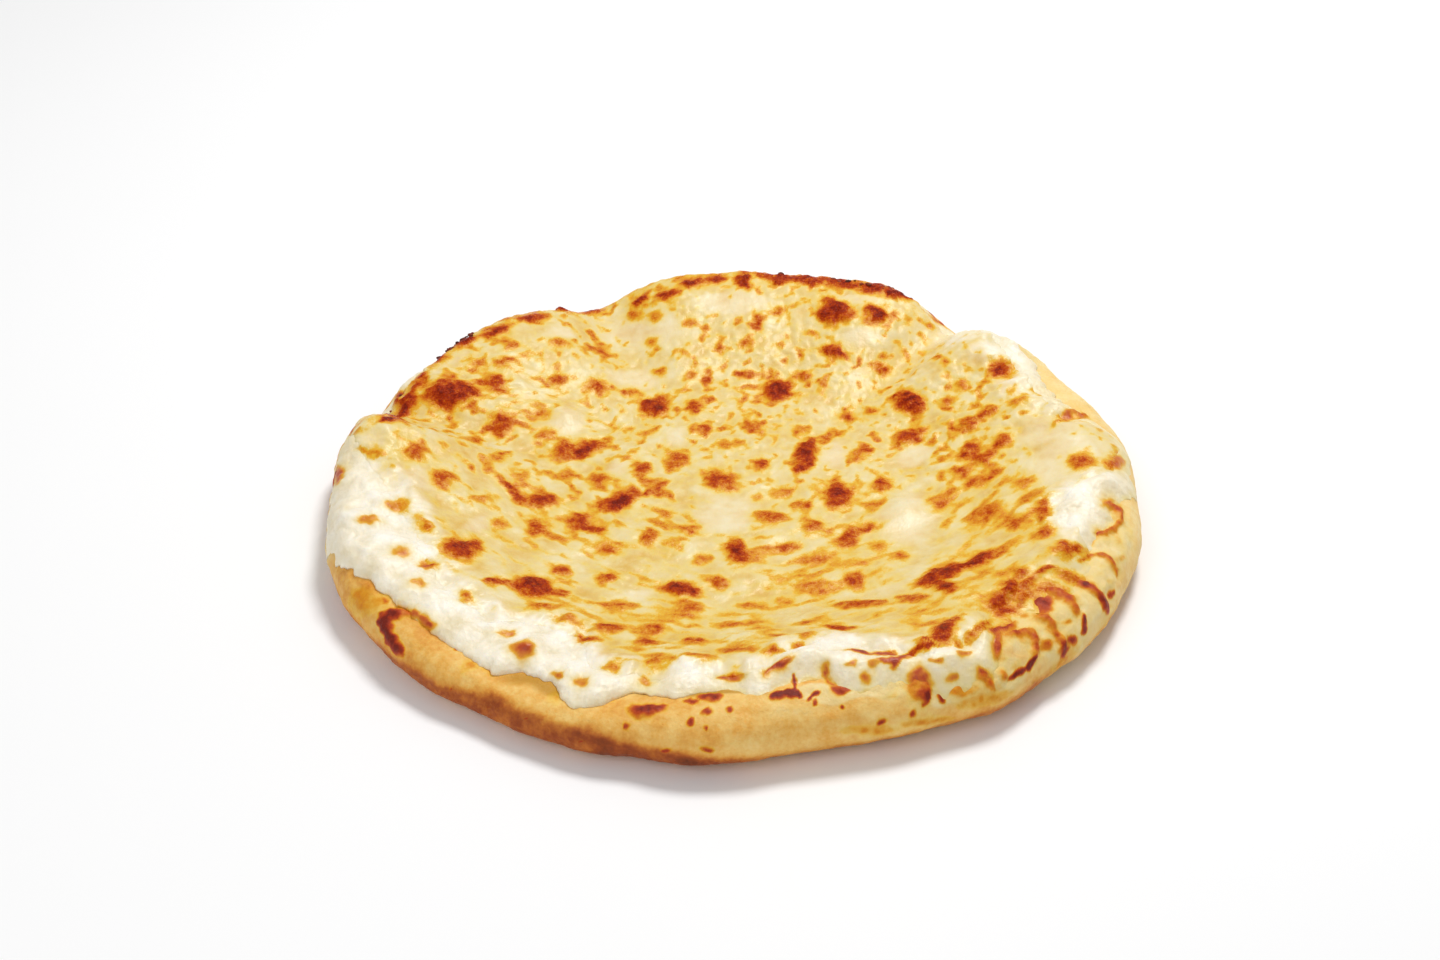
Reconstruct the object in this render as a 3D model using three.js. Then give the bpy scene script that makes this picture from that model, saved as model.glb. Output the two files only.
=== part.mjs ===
// A round white pizza, uncut and dished: a dough crust with a puffed rim, a layer of
// ricotta on it and a melted mozzarella layer on top.
// Millimetres, +Z up, origin under the middle of the base. Angles are in degrees,
// counter-clockwise seen from above, with 270 at the front.
import * as THREE from 'three';

// Sizes that change around the pizza: a plain value, then bumps of [angle, spread, change].
const RIM_RADIUS = { plain: 150.5, bumps: [
  [284, 17, -7.5], [240, 20, -3], [203, 20, 2], [60, 14, 1.5], [322, 10, -1.5], [14, 6, 2],
  [168, 9, 2],
] };
const CREST_HEIGHT = { plain: 22.5, bumps: [
  [236, 27, -7.5], [285, 20, 1.5], [85, 20, 1.8], [110, 60, -1.6], // low lip at the front left
  [51, 5, -8], [114, 8, -10], [147, 5, -2.5], [160, 6, -9], // dips in the rim
  [40, 6, 3.5], [65, 7, 3], [171, 6, 3], // shoulders beside the dips
] };
const CREST_INSET = { plain: 13, bumps: [[236, 27, -5.5], [285, 30, 2]] };

// Edges of the two cheeses, as radii. Their bumps are flat-topped.
const RICOTTA_EDGE = { plain: 136.5, flat: true, bumps: [
  [120, 86, 10], [196, 11, 4.5], [3, 9, 10], [304, 8, 9], [351, 9, 4], [248, 5, 4],
  [23, 7, -3.5], [240, 5, -6], [256, 5.5, -8], [267, 5.5, -9], [280, 5.5, -10], [320, 10, -12],
] };
const MOZZARELLA_EDGE = { plain: 125, flat: true, bumps: [
  [105, 68, 20], [4, 9, 19], [304, 9, 10], [335, 6, 5],
  [236, 8, -16], [284, 8, -12], [225, 5, -3], [264, 5, -4], [346, 5, -4], [198, 5, -2],
] };

// Mounds on each layer: [angle, radius, half width, height].
const DOUGH_MOUNDS = [[311, 139, 10, 2.2], [301, 141, 7, 1.2], [274, 138, 9, 0.8]];
const RICOTTA_MOUNDS = [
  [204, 138, 9, 1.6], [192, 142, 8, 1.2], [212, 134, 8, 1.2], [222, 130, 9, 1.4],
  [233.5, 122, 9, 2.4], [248, 132, 7, 1.8], [277, 121, 6, 1.6], [281, 117, 7, 2.2],
  [286, 120, 7, 2.2], [291, 131, 7, 1.5], [300, 138, 7, 1.2], [339, 134, 7, 1.6],
  [347, 126, 8, 2.2], [354, 134, 8, 2], [19, 130, 6, 1.8], [26, 131, 7, 2], [34, 138, 7, 2],
];
const MOZZARELLA_MOUNDS = [[142, 82.5, 6.5, 2.2], [352.5, 64, 8.5, 2.6]];

const WAIST_SHARE = 0.45; // height of the widest point, as a share of the crest's
const MIDDLE = [0.1, 1.7]; // middle of the outline, which goes over the origin
const HEEL = 16; // how far the flat underside stops short of the rim
const FLOOR_RADIUS = 62; // the flat middle of the dish
const FLOOR_HEIGHT = 6; // dough under the middle
const GAP = 0.35; // clearance between one layer and the next
const COVERED_GAP = 1; // where mozzarella covers the ricotta
const RICOTTA_THICK = 3.4; // along its bare edge
const RICOTTA_THIN = 1.4; // in the middle, under the mozzarella
const RICOTTA_LIP = 4; // width of its rounded edge
const BARE_START = 20; // how far under the mozzarella it starts to thicken
const BARE_RAMP = 16; // and over what distance
const BARE_WIDTH = 8; // a bare band as wide as this is at full thickness
const MOZZARELLA_THICK = 2.1;
const MOZZARELLA_LIP = 7;
const DOUGH_WAVES = { length: 36, height: 0.45 };
const RICOTTA_WAVES = { length: 15, height: 0.45 };
const MOZZARELLA_WAVES = { length: 30, height: 0.3 };

// Resolution of the solids. The stops are ring radii, as shares of a cheese's edge radius.
const SPOKES = 108;
const UNDER_RINGS = 6;
const OUTER_RINGS = 8;
const INNER_STOPS = [0.3, 0.48, 0.6, 0.7, 0.79, 0.87, 0.935, 0.975];
const RICOTTA_STOPS = [...INNER_STOPS, 0.992];
const TOP_STOPS = [0.12, 0.26, 0.38, 0.47, 0.56, 0.65, 0.73, 0.8, 0.86, 0.91, 0.95, 0.985];

const COLOURS = { dough: 0xe0ad68, ricotta: 0xf6f0e2, mozzarella: 0xf3dc9c };

const TURN = Math.PI / 180;
const GOLDEN_ANGLE = 137.5;
const WAVE_COUNT = 7;

const clamp = (x, low, high) => Math.min(high, Math.max(low, x));
const smooth = (x) => { const t = clamp(x, 0, 1); return t * t * (3 - 2 * t); };
const wrap = (deg) => ((((deg + 180) % 360) + 360) % 360) - 180;
const planeX = (r, deg) => r * Math.cos(deg * TURN);
const planeY = (r, deg) => r * Math.sin(deg * TURN);

// A size that changes around the pizza, at one angle.
function around({ plain, bumps, flat }, deg) {
  const power = flat ? 4 : 2;
  return bumps.reduce((value, [at, spread, change]) => {
    const away = Math.abs(wrap(deg - at)) / spread;
    return value + change * Math.exp(-(away ** power));
  }, plain);
}

// Height of the round mounds of a layer at one place.
function mounds(list, r, deg) {
  const x = planeX(r, deg);
  const y = planeY(r, deg);
  return list.reduce((height, [at, radius, half, rise]) => {
    const away = Math.hypot(x - planeX(radius, at), y - planeY(radius, at)) / half;
    return height + rise * Math.exp(-(away ** 2));
  }, 0);
}

// Uneven swell: a few plane waves whose directions turn by the golden angle.
function swell({ length, height }, r, deg) {
  let sum = 0;
  for (let i = 0; i < WAVE_COUNT; i += 1) {
    const along = planeX(r, deg - i * GOLDEN_ANGLE);
    const pitch = length * (0.8 + (0.5 * i) / WAVE_COUNT);
    sum += Math.sin((2 * Math.PI * along) / pitch + i * i * GOLDEN_ANGLE * TURN);
  }
  return (height * sum) / Math.sqrt(WAVE_COUNT / 2);
}

// The rim at one angle: outer radius, crest radius and height, height of the widest point.
function rim(deg) {
  const outer = around(RIM_RADIUS, deg) + swell(DOUGH_WAVES, RIM_RADIUS.plain, deg);
  const height = around(CREST_HEIGHT, deg);
  return { outer, crest: outer - around(CREST_INSET, deg), height, waist: WAIST_SHARE * height };
}

// Height of the dough's upper surface.
function doughTop(r, deg) {
  const { outer, crest, height, waist } = rim(deg);
  if (r > crest) {
    const lean = clamp((r - crest) / (outer - crest), 0, 1);
    const bulge = mounds(DOUGH_MOUNDS, r, deg) * (1 - lean);
    return waist + (height - waist) * Math.sqrt(1 - lean ** 2) + bulge;
  }
  const rise = smooth((r - FLOOR_RADIUS) / (crest - FLOOR_RADIUS));
  return FLOOR_HEIGHT + (height - FLOOR_HEIGHT) * rise + mounds(DOUGH_MOUNDS, r, deg);
}

// Share of a layer's full depth at radius r: 1 inside, rounding to 0 at its edge.
function rounded(r, edge, lip) {
  return Math.sqrt(1 - clamp((r - edge + lip) / lip, 0, 1) ** 2);
}

function ricottaDepth(r, deg) {
  const edge = around(RICOTTA_EDGE, deg);
  if (r >= edge) return 0;
  const cover = around(MOZZARELLA_EDGE, deg);
  const bare = smooth((r - cover + BARE_START) / BARE_RAMP) * smooth((edge - cover) / BARE_WIDTH);
  const lumps = swell(RICOTTA_WAVES, r, deg) + mounds(RICOTTA_MOUNDS, r, deg);
  const full = RICOTTA_THIN + (RICOTTA_THICK - RICOTTA_THIN + lumps) * bare;
  return full * rounded(r, edge, RICOTTA_LIP);
}

// The mozzarella rests on the ricotta and, past its edge, on the dough.
function mozzarellaFloor(r, deg) {
  return doughTop(r, deg) + GAP + ricottaDepth(r, deg) + COVERED_GAP;
}

function mozzarellaDepth(r, deg) {
  const edge = around(MOZZARELLA_EDGE, deg);
  const sag = swell(MOZZARELLA_WAVES, r, deg) + mounds(MOZZARELLA_MOUNDS, r, deg);
  return (MOZZARELLA_THICK + sag) * rounded(r, edge, MOZZARELLA_LIP);
}

// Every section runs from the axis below, outwards and back over the top to the axis.
function crustSection(deg) {
  const { outer, waist } = rim(deg);
  const edge = around(RICOTTA_EDGE, deg);
  const points = [[0, 0]];
  for (let i = 0; i < UNDER_RINGS; i += 1) {
    const turn = (i / (UNDER_RINGS - 1)) * (Math.PI / 2);
    points.push([outer - HEEL + HEEL * Math.sin(turn), waist * (1 - Math.cos(turn))]);
  }
  for (let i = 1; i <= OUTER_RINGS; i += 1) {
    const r = edge + (outer - edge) * Math.cos((i / OUTER_RINGS) * (Math.PI / 2));
    points.push([r, doughTop(r, deg)]);
  }
  for (const stop of [...INNER_STOPS].reverse()) {
    points.push([stop * edge, doughTop(stop * edge, deg)]);
  }
  points.push([0, doughTop(0, deg)]);
  return points;
}

function layerSection(deg, edge, stops, floor, depth) {
  const points = [[0, floor(0, deg)]];
  for (const stop of [...INNER_STOPS, 1]) points.push([stop * edge, floor(stop * edge, deg)]);
  for (const stop of [...stops].reverse()) {
    const r = stop * edge;
    points.push([r, floor(r, deg) + depth(r, deg)]);
  }
  points.push([0, floor(0, deg) + depth(0, deg)]);
  return points;
}

function ricottaSection(deg) {
  const floor = (r) => doughTop(r, deg) + GAP;
  return layerSection(deg, around(RICOTTA_EDGE, deg), RICOTTA_STOPS, floor, ricottaDepth);
}

function mozzarellaSection(deg) {
  const edge = around(MOZZARELLA_EDGE, deg);
  return layerSection(deg, edge, TOP_STOPS, mozzarellaFloor, mozzarellaDepth);
}

// A closed body swept round the axis from sections that change with the angle. Each patch
// is split along the same diagonal on upper and lower faces, so stacked layers stay parallel.
function roundSolid(section) {
  const sections = Array.from({ length: SPOKES }, (_, i) => section((360 * i) / SPOKES));
  const last = sections[0].length - 1;
  const position = [0, 0, sections[0][0][1], 0, 0, sections[0][last][1]];
  for (let ring = 1; ring < last; ring += 1) {
    sections.forEach((points, spoke) => {
      const [r, z] = points[ring];
      const deg = (360 * spoke) / SPOKES;
      position.push(planeX(r, deg), planeY(r, deg), z);
    });
  }
  const corner = (ring, spoke) => 2 + (ring - 1) * SPOKES + (spoke % SPOKES);
  const index = [];
  for (let spoke = 0; spoke < SPOKES; spoke += 1) {
    index.push(0, corner(1, spoke + 1), corner(1, spoke));
    index.push(1, corner(last - 1, spoke), corner(last - 1, spoke + 1));
    for (let ring = 1; ring < last - 1; ring += 1) {
      const a = corner(ring, spoke);
      const b = corner(ring, spoke + 1);
      const c = corner(ring + 1, spoke + 1);
      const d = corner(ring + 1, spoke);
      const outwards = sections[spoke][ring + 1][0] > sections[spoke][ring][0];
      index.push(...(outwards ? [a, b, c, a, c, d] : [a, b, d, b, c, d]));
    }
  }
  const geometry = new THREE.BufferGeometry();
  geometry.setAttribute('position', new THREE.Float32BufferAttribute(position, 3));
  geometry.setIndex(index);
  geometry.computeVertexNormals();
  return geometry;
}

function layer(name, section, colour, roughness) {
  const material = new THREE.MeshStandardMaterial({ color: colour, roughness, metalness: 0 });
  const mesh = new THREE.Mesh(roundSolid(section), material);
  mesh.name = name;
  return mesh;
}

const pizza = new THREE.Group();
pizza.position.set(-MIDDLE[0], -MIDDLE[1], 0);
pizza.add(layer('crust', crustSection, COLOURS.dough, 0.7));
pizza.add(layer('ricotta', ricottaSection, COLOURS.ricotta, 0.6));
pizza.add(layer('mozzarella', mozzarellaSection, COLOURS.mozzarella, 0.35));

export default pizza;
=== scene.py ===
"""A round white pizza, uncut and dished: a puffed golden crust, lumpy ricotta that shows
round the edge, and melted mozzarella with browned blisters over everything.

Shapes are worked out in millimetres around the middle of the dish, with angles in degrees
counter-clockwise seen from above (270 is the front), and turned into metres at the end.
Pixel coordinates are places in the 1440 x 960 photograph.
"""
import math

import bpy
import numpy as np
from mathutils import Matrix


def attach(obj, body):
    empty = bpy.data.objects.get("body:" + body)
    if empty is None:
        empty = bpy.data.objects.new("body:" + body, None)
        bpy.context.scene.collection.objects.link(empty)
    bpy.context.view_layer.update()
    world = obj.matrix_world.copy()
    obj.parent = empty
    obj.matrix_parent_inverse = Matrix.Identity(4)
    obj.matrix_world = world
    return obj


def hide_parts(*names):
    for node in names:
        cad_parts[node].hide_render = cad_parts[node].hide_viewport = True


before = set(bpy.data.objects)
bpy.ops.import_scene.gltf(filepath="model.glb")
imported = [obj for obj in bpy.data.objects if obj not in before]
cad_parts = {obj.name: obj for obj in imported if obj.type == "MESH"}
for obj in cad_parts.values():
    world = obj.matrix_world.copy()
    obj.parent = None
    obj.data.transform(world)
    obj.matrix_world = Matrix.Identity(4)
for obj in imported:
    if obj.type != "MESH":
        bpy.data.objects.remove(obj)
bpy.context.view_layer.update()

# ---- sizes, as in the solids
# A size that changes around the pizza is (plain size, power, [(angle, half width, change), ...]).
# A mound is (angle, radius, half width, height), and waves are (length, height).
RIM_RADIUS = (150.5, 2, [
    (284, 17, -7.5), (240, 20, -3), (203, 20, 2), (60, 14, 1.5), (322, 10, -1.5), (14, 6, 2),
    (168, 9, 2)])
CREST_HEIGHT = (22.5, 2, [
    (236, 27, -7.5), (285, 20, 1.5), (85, 20, 1.8), (110, 60, -1.6),
    (51, 5, -8), (114, 8, -10), (147, 5, -2.5), (160, 6, -9),
    (40, 6, 3.5), (65, 7, 3), (171, 6, 3)])
CREST_INSET = (13, 2, [(236, 27, -5.5), (285, 30, 2)])
RICOTTA_EDGE = (136.5, 4, [
    (120, 86, 10), (196, 11, 4.5), (3, 9, 10), (304, 8, 9), (351, 9, 4), (248, 5, 4),
    (23, 7, -3.5), (240, 5, -6), (256, 5.5, -8), (267, 5.5, -9), (280, 5.5, -10), (320, 10, -12)])
MOZZARELLA_EDGE = (125, 4, [
    (105, 68, 20), (4, 9, 19), (304, 9, 10), (335, 6, 5),
    (236, 8, -16), (284, 8, -12), (225, 5, -3), (264, 5, -4), (346, 5, -4), (198, 5, -2)])
DOUGH_MOUNDS = [(311, 139, 10, 2.2), (301, 141, 7, 1.2), (274, 138, 9, 0.8)]
RICOTTA_MOUNDS = [
    (204, 138, 9, 1.6), (192, 142, 8, 1.2), (212, 134, 8, 1.2), (222, 130, 9, 1.4),
    (233.5, 122, 9, 2.4), (248, 132, 7, 1.8), (277, 121, 6, 1.6), (281, 117, 7, 2.2),
    (286, 120, 7, 2.2), (291, 131, 7, 1.5), (300, 138, 7, 1.2), (339, 134, 7, 1.6),
    (347, 126, 8, 2.2), (354, 134, 8, 2), (19, 130, 6, 1.8), (26, 131, 7, 2), (34, 138, 7, 2)]
MOZZARELLA_MOUNDS = [(142, 82.5, 6.5, 2.2), (352.5, 64, 8.5, 2.6)]
WAIST_SHARE = 0.45  # height of the widest point, as a share of the crest's
MIDDLE = (0.1, 1.7)  # the middle of the outline, which the origin lies under
HEEL = 16
FLOOR_RADIUS = 62
FLOOR_HEIGHT = 6
GAP = 0.35
COVERED_GAP = 1
RICOTTA_THICK = 3.4
RICOTTA_THIN = 1.4
RICOTTA_LIP = 4
BARE_START = 20
BARE_RAMP = 16
BARE_WIDTH = 8
MOZZARELLA_THICK = 2.1
MOZZARELLA_LIP = 7
DOUGH_WAVES = (36, 0.45)
RICOTTA_WAVES = (15, 0.45)
MOZZARELLA_WAVES = (30, 0.3)
GOLDEN_ANGLE = 137.5
WAVE_COUNT = 7

# ---- finer shapes of the edges
BACK_LIP = (0, 4, [(100, 66, 1)])  # where the mozzarella ends in a full, round lip
FEATHER = 15  # how far in it thins out elsewhere
FRONT_SPREAD = (0, 2, [(328, 14, 13), (10, 8, 4), (170, 11, 14)])  # where it runs on outwards
MELTED_CORNERS = (0, 2, [(168, 12, 0.9), (14, 14, 0.6)])  # where it still hides the curd
BACK_RIM = (0, 2, [(75, 38, 0.9), (130, 36, 0.6), (165, 16, 0.4)])  # where its edge is toasted
OVERHANG = (0, 4, [(182, 26, 5), (9, 9, 2.5)])  # where the ricotta hangs out over the dough
SOFT_LIP = (0.35, 4, [(318, 54, 0.65)])  # how softly the ricotta's edge runs out
SOFT_RUN = 9
CREAMY_EDGE = (0.12, 2, [(314, 34, 0.85), (10, 20, 0.3)])  # how much melted cheese stains it
STAIN_WIDTH = 14
WHITE_START = 17
WHITE_RAMP = 13
RAGGED_RING = 130.0
FRONT = 270

# ---- the photograph's camera
PHOTO_WIDTH = 1440
PHOTO_HEIGHT = 960
FOCAL_PIXELS = 2620
ELEVATION = 34.4
CAMERA = np.array([-5.4, -803.5, 569.1])

# ---- browned spots, by pixel
# Each is (x, y, width, height, tilt): the middle, the size along and across its long axis,
# and, where it isn't level, the axis's slope in degrees, positive where it runs down to the right.
DARK_BLISTERS = [
    (451, 392, 52, 26), (463, 549, 40, 20), (535, 586, 36, 19, 8), (655, 408, 26, 20),
    (777, 390, 28, 24), (834, 313, 34, 25), (875, 315, 27, 20), (836, 352, 30, 13, 15),
    (908, 401, 34, 21, 35), (1000, 369, 21, 15), (806, 456, 38, 18, -65), (837, 495, 29, 25),
    (738, 553, 27, 20, 80), (679, 589, 36, 13, 5), (943, 574, 58, 14, -24), (976, 560, 40, 13, -25),
    (945, 588, 24, 12, 20), (942, 630, 26, 15, -30), (404, 412, 36, 14, -25), (647, 709, 38, 13, -8),
    (584, 451, 20, 9, -8), (619, 503, 26, 12, -20)]
BROWN_BLISTERS = [
    (496, 582, 34, 7), (556, 593, 30, 5, 8), (563, 452, 24, 18, -20), (590, 446, 32, 13, -12),
    (617, 502, 46, 16, -22), (655, 489, 32, 6, -25), (537, 501, 38, 12, 5), (508, 487, 36, 7, 38),
    (578, 520, 26, 13), (592, 527, 26, 9, 10), (535, 526, 22, 17, 30), (829, 301, 16, 9),
    (909, 437, 38, 15, -20), (848, 536, 30, 14, -40), (866, 528, 22, 8), (521, 648, 22, 14),
    (948, 622, 30, 10, -25), (925, 640, 22, 8, -50), (342, 478, 14, 20), (563, 308, 16, 8),
    (494, 382, 21, 17, 40), (503, 425, 25, 22, 80), (557, 381, 18, 12), (597, 387, 24, 11),
    (696, 408, 17, 14), (678, 459, 22, 17), (640, 470, 18, 14, 60), (720, 481, 38, 19, 20),
    (442, 480, 21, 19, 20), (417, 452, 18, 18), (650, 537, 22, 12, -60), (882, 369, 18, 13),
    (806, 378, 13, 9, 20), (967, 424, 24, 13, -30), (988, 412, 22, 11, -20), (1002, 440, 22, 13, -35),
    (847, 415, 18, 12), (761, 465, 17, 11), (750, 426, 16, 9), (881, 485, 22, 13, -20),
    (813, 527, 20, 13, 20), (770, 517, 36, 11, 5), (788, 545, 28, 7), (854, 582, 20, 17),
    (720, 582, 16, 12), (861, 605, 56, 12, -4), (913, 598, 32, 10), (838, 626, 32, 9),
    (806, 623, 18, 9), (608, 578, 23, 9), (561, 570, 21, 7), (610, 629, 28, 9, 12),
    (589, 639, 26, 8, 10), (653, 629, 22, 9), (647, 642, 30, 8, 6), (696, 639, 20, 10),
    (731, 676, 28, 7, -4), (776, 667, 28, 7, -30), (1043, 511, 24, 14, -70), (1041, 531, 20, 13, -40),
    (1063, 547, 20, 16, 40), (1082, 461, 24, 15, -10), (984, 458, 26, 12, -35), (1009, 609, 14, 9),
    (1045, 603, 20, 16), (427, 565, 14, 8, 30), (1116, 463, 20, 16), (968, 452, 24, 14, -30)]
AMBER_SPOTS = [
    (371, 451, 30, 5, 5), (396, 506, 21, 12), (369, 519, 22, 6, 3), (424, 525, 17, 11, 50),
    (499, 457, 16, 9), (523, 476, 15, 10), (499, 523, 16, 10), (401, 552, 17, 11),
    (419, 583, 13, 9), (467, 598, 14, 9), (546, 608, 34, 7), (612, 669, 12, 14, 60),
    (646, 681, 11, 7), (581, 681, 15, 8), (635, 315, 16, 9), (654, 316, 14, 9),
    (690, 323, 18, 9), (652, 341, 14, 7), (560, 344, 22, 9), (597, 350, 20, 9),
    (503, 362, 18, 9), (512, 346, 18, 8), (541, 414, 18, 12), (545, 436, 16, 10),
    (630, 393, 22, 8), (647, 432, 26, 6, -15), (663, 513, 18, 10), (704, 559, 18, 9),
    (752, 605, 34, 8), (784, 601, 18, 9), (815, 591, 46, 13), (727, 445, 18, 9),
    (834, 433, 24, 8, -20), (779, 492, 16, 9), (936, 501, 16, 12), (963, 472, 22, 12, -30),
    (1024, 483, 24, 10, -20), (959, 385, 18, 10), (949, 401, 16, 10, -25), (659, 372, 16, 8),
    (691, 376, 12, 6), (708, 378, 14, 6), (745, 372, 20, 6), (720, 347, 22, 9, 80),
    (759, 322, 22, 9, 80), (777, 311, 16, 8), (745, 344, 14, 9), (870, 411, 14, 7),
    (879, 547, 16, 9), (1017, 401, 16, 10, -20), (985, 515, 46, 16, -12), (1018, 524, 22, 11, -20),
    (1031, 496, 24, 10, -30), (1003, 550, 40, 8, -30), (980, 480, 30, 12, -20), (1010, 592, 34, 10, -30),
    (700, 655, 40, 8), (740, 650, 44, 9), (660, 660, 30, 8),
    (620, 605, 30, 9), (570, 620, 24, 7), (690, 610, 26, 9), (730, 625, 30, 8),
    (600, 480, 22, 12, -20), (565, 475, 22, 10), (700, 430, 18, 10), (800, 430, 20, 8, -10),
    (860, 455, 20, 12, -20), (870, 505, 22, 10), (800, 505, 22, 9), (690, 530, 22, 9),
    (610, 550, 22, 9), (480, 500, 20, 8), (470, 440, 20, 10), (900, 555, 20, 10, -20)]
RIM_TOAST = [
    (668, 295, 24, 9, -15), (693, 284, 28, 9, -12), (716, 279, 22, 6), (775, 277, 34, 10, 4),
    (806, 279, 36, 10, 5), (840, 282, 36, 10, 5), (872, 286, 34, 10, 5), (902, 292, 34, 10, 10),
    (531, 316, 30, 9, -8), (496, 331, 34, 8, -20), (563, 308, 14, 9), (463, 341, 14, 9, -30),
    (440, 358, 11, 6, -45), (400, 396, 8, 6, -50), (393, 414, 26, 10), (352, 432, 16, 6, -20),
    (952, 320, 12, 8), (930, 310, 16, 7, 35), (744, 281, 18, 8, 60), (640, 300, 20, 8, -20),
    (590, 312, 24, 7), (422, 377, 11, 5, -45)]
# Toasted knobs that stand up on the back edge, and its charred stretches.
EDGE_NUBS = [
    (563, 309, 13, 7), (893, 296, 12, 6, 5), (911, 298, 12, 6, 15), (467, 340, 8, 6, -30),
    (399, 402, 8, 8), (776, 283, 12, 5), (744, 279, 12, 5), (690, 287, 10, 6, -10)]
EDGE_CHAR = [(906, 294, 22, 6, 12), (893, 292, 16, 5, 8), (463, 338, 9, 6), (389, 420, 22, 5)]
# Browned cheese strings on the bare dough and between the lumps, and one fold's painted shade: pixel routes
# and widths.
STRINGS = [
    ([(1060, 574), (1077, 579), (1090, 588), (1100, 597)], 9),
    ([(1044, 585), (1057, 591), (1068, 596), (1074, 605), (1078, 613)], 9),
    ([(1048, 619), (1055, 629), (1059, 640), (1062, 648)], 9),
    ([(1035, 580), (1024, 590), (1019, 602)], 10), ([(1026, 572), (1014, 578)], 8),
    ([(1014, 583), (1004, 594), (991, 602)], 13),
    ([(990, 634), (1001, 630), (1015, 623)], 8), ([(1010, 636), (1021, 634), (1032, 633)], 10),
    ([(1034, 632), (1036, 646), (1035, 658)], 10), ([(1002, 671), (1010, 674)], 8),
    ([(1105, 504), (1117, 508), (1120, 518), (1116, 529), (1107, 536), (1100, 533)], 9),
    ([(1081, 561), (1094, 555), (1106, 556), (1113, 566), (1116, 575)], 5),
    ([(999, 634), (997, 646), (996, 657)], 8), ([(975, 626), (991, 622)], 8),
    ([(1056, 421), (1066, 415), (1080, 416), (1085, 421)], 6),
    ([(978, 672), (986, 680), (996, 685)], 9), ([(1036, 616), (1047, 618)], 10),
    ([(825, 662), (826, 675), (834, 686)], 5), ([(919, 672), (922, 684), (926, 700)], 12),
    ([(765, 673), (776, 667), (789, 659)], 6), ([(394, 612), (406, 613), (420, 619), (430, 626)], 9)]
BAKED_STRINGS_AND_FOLD_SHADE = [
    ([(1040, 577), (1052, 571)], 5), ([(1084, 583), (1093, 590)], 7), ([(775, 669), (788, 661)], 4),
    # The last two routes are painted shade: a dark line along the fold between the mozzarella and the
    # ricotta ridge at the front, in browned-cheese colours.
    ([(992, 633), (1010, 626)], 5), ([(848, 650), (872, 652), (895, 652)], 5),
    ([(880, 658), (902, 658), (918, 653), (934, 645)], 6)]
CHARRED_STRINGS = [
    ([(1101, 597), (1108, 611)], 9), ([(1085, 616), (1084, 625), (1083, 633)], 5),
    ([(1036, 657), (1029, 668), (1014, 677)], 7), ([(1062, 646), (1064, 654)], 8),
    ([(396, 613), (387, 615), (383, 622)], 12), ([(382, 620), (389, 636), (398, 653)], 14),
    ([(773, 697), (784, 696), (795, 692)], 9), ([(795, 690), (793, 679)], 3.5),
    ([(796, 691), (799, 697)], 4), ([(808, 701), (812, 693), (817, 695)], 5)]
CRUST_SPOTS = [
    (710, 698, 22, 9), (691, 702, 14, 6), (707, 712, 10, 8), (689, 723, 9, 12),
    (731, 710, 8, 7), (707, 730, 6, 5), (816, 704, 5, 7), (838, 690, 20, 10),
    (926, 698, 8, 15), (943, 698, 7, 14), (626, 727, 9, 5, 20), (916, 713, 5, 6),
    (844, 708, 5, 4), (881, 722, 6, 5), (668, 751, 8, 5), (708, 749, 8, 5),
    (457, 645, 10, 9, 30), (339, 480, 14, 22), (1111, 595, 5, 9), (1072, 641, 12, 12),
    (1044, 603, 25, 22), (1098, 531, 15, 11), (451, 690, 5, 4), (490, 708, 5, 4),
    (525, 720, 6, 4), (583, 742, 6, 4), (331, 506, 4, 5), (329, 521, 4, 5),
    (333, 536, 4, 4), (330, 549, 5, 5), (1010, 608, 17, 10), (600, 701, 28, 8, -8)]
CRUST_STAINS = [
    (918, 690, 22, 26), (985, 700, 60, 14, -12), (869, 730, 60, 10), (1062, 664, 50, 10, -48),
    (488, 671, 12, 10, 60), (471, 667, 18, 10), (558, 695, 16, 13), (362, 600, 34, 40, 50),
    (1106, 625, 40, 8, -58), (930, 722, 60, 9, -6), (960, 690, 40, 12)]
RICOTTA_STAINS = [
    (866, 676, 13, 10), (874, 664, 11, 8), (891, 667, 6, 7), (852, 665, 7, 6),
    (957, 644, 12, 8), (951, 677, 14, 9), (980, 628, 22, 8, -20), (506, 632, 20, 6, 10),
    (918, 676, 14, 16), (560, 676, 14, 6), (984, 678, 16, 10, 40), (1075, 549, 14, 8),
    (805, 636, 14, 8), (778, 636, 20, 7), (800, 646, 16, 6, -10), (773, 650, 24, 6),
    (1000, 612, 20, 12, -30), (965, 655, 14, 6, -20), (940, 660, 16, 5, -10), (385, 600, 10, 6, 40)]
# Places left pale, and those that are browner than the rest.
PALE_PATCHES = [
    (645, 328, 92, 44), (735, 303, 84, 20), (567, 421, 42, 38), (682, 438, 26, 20),
    (727, 513, 72, 42), (620, 467, 28, 18, -30), (908, 515, 66, 48), (831, 452, 40, 28),
    (916, 456, 46, 22, -15), (1068, 458, 84, 50, -20), (1045, 430, 60, 36), (362, 520, 84, 110),
    (420, 478, 40, 24), (705, 678, 130, 20), (630, 597, 50, 13, -8), (882, 638, 60, 16),
    (640, 378, 66, 22), (855, 340, 46, 24), (480, 522, 36, 18), (1015, 345, 50, 24),
    (860, 300, 60, 14), (560, 330, 40, 14)]
BUSY_PATCHES = [
    (990, 505, 120, 150, -40), (690, 628, 260, 84), (600, 500, 170, 100), (455, 400, 130, 80, -25),
    (800, 560, 150, 70), (560, 600, 160, 50, 10), (700, 400, 160, 60), (960, 600, 150, 60, -25)]
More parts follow.
